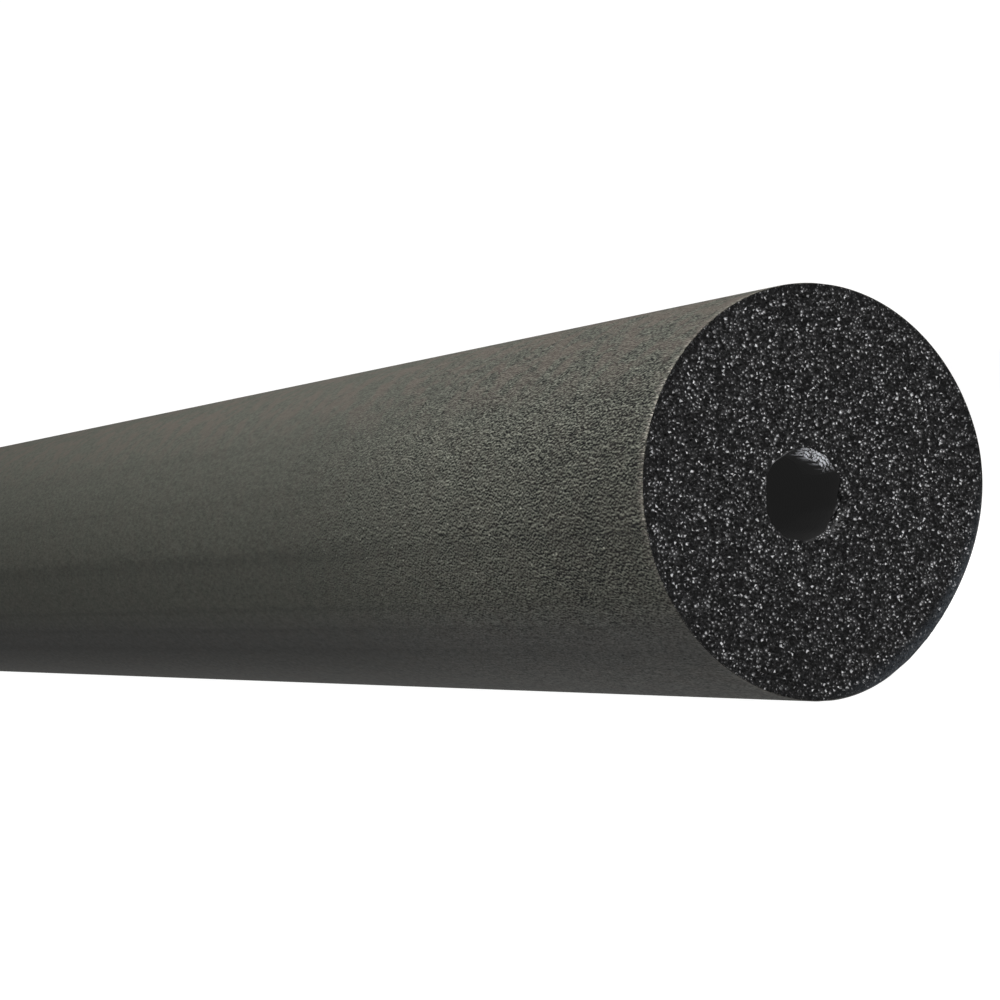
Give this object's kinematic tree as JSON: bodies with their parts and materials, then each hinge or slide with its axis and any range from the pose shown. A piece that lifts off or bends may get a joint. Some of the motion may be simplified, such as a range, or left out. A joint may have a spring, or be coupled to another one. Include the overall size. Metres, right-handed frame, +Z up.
{
  "type": "pipe insulation tube",
  "caption": "Straight unslit length of thick-walled closed-cell rubber foam pipe insulation with a small round bore, cut square at both ends.",
  "frame": {"origin": "centre of the bounding box's underside: midway along the tube, below its axis, on the floor that it lies on", "axes": "+X along the tube towards the end cut that the picture shows, +Z up from the floor, +Y across the tube"},
  "size_m": [1.829, 0.049, 0.049],
  "materials": {
    "rubber_foam": "matt dark grey skin with a fine leathery grain; the cut ends show glossy black open cells"
  },
  "bodies": {
    "root": {"foam_tube": "rubber_foam"}
  },
  "joints": []
}
